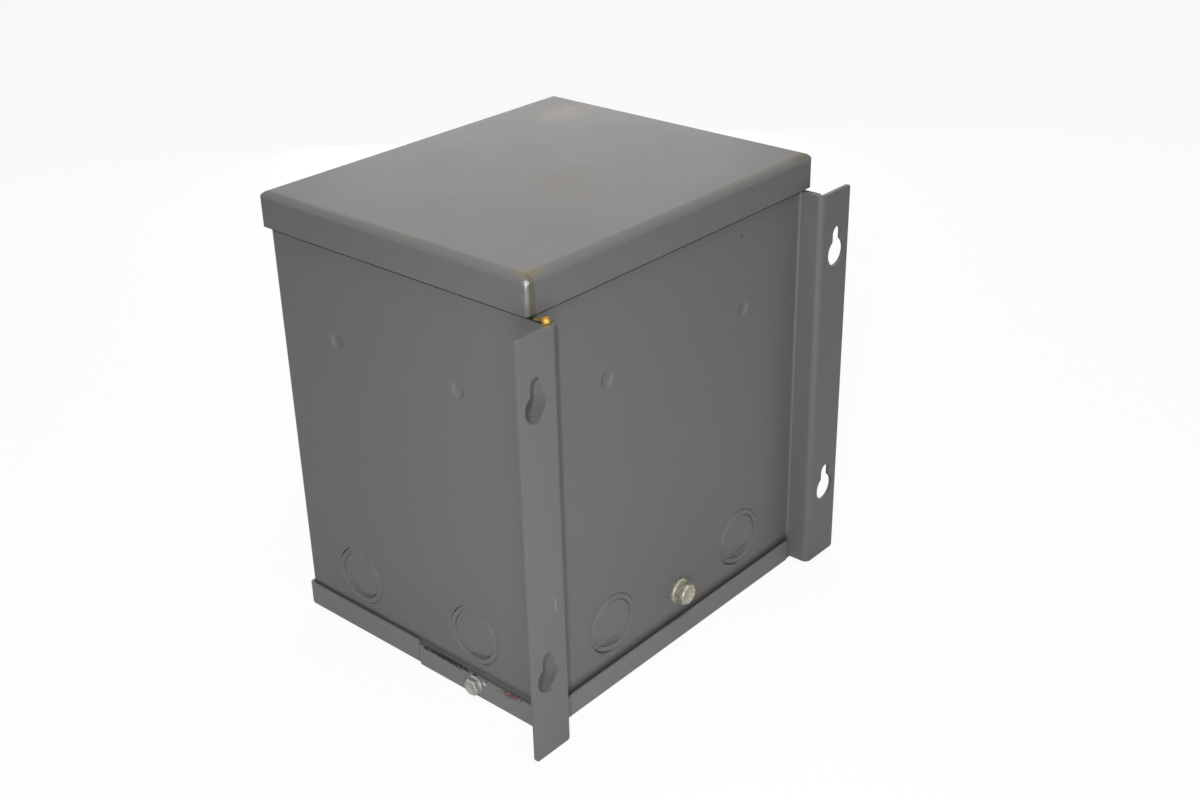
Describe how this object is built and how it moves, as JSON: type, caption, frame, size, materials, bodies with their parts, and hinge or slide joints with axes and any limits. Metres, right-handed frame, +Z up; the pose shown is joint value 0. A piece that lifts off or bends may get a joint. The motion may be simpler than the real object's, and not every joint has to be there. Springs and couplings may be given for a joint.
{
  "type": "single-phase transformer",
  "caption": "Small potted single-phase transformer in a grey folded steel case that hangs on keyhole flanges, with a lid, knockouts, ground bolt and bottom wiring compartment.",
  "frame": {"origin": "on the underside of the rear tray, under the middle of the whole part's box", "axes": "+Z up, +Y towards the wall that the flanges hang on, front faces -Y, +X to the right of someone who looks at the front"},
  "size_m": [0.2142, 0.1642, 0.2082],
  "materials": {
    "grey_enamel": "satin baked enamel over steel sheet, with resin stains and a little rust",
    "zinc_hardware": "bright zinc plate, dulled",
    "core_steel": "varnished electrical steel",
    "band_steel": "cold rolled strapping",
    "copper": "tinned or bare copper",
    "bobbin_nylon": "moulded",
    "insulation_paper": "varnished paper",
    "potting_resin": "cast, sand-filled",
    "black_insulation": "extruded",
    "yellow_insulation": "extruded",
    "amber_resin": "glossy, hardened drop"
  },
  "bodies": {
    "root": {"back_panel": "grey_enamel", "case_wrapper": "grey_enamel", "lid": "grey_enamel", "front_tray": "grey_enamel", "rear_tray": "grey_enamel", "tray_screws": "zinc_hardware", "ground_bolt": "zinc_hardware", "ground_tooth_washer": "zinc_hardware", "ground_nut": "zinc_hardware", "ground_strap": "copper", "resin_drop": "amber_resin", "e_core": "core_steel", "i_core": "core_steel", "core_band": "band_steel", "band_seal": "band_steel", "bobbin": "bobbin_nylon", "primary_winding": "copper", "winding_barrier": "insulation_paper", "secondary_winding": "copper", "coil_wrap": "insulation_paper", "potting_compound": "potting_resin", "primary_lead_1": "black_insulation", "secondary_lead_1": "yellow_insulation", "primary_lead_2": "black_insulation", "secondary_lead_2": "yellow_insulation", "primary_lead_3": "black_insulation", "secondary_lead_3": "yellow_insulation", "primary_lead_4": "black_insulation", "secondary_lead_4": "yellow_insulation"}
  },
  "joints": []
}
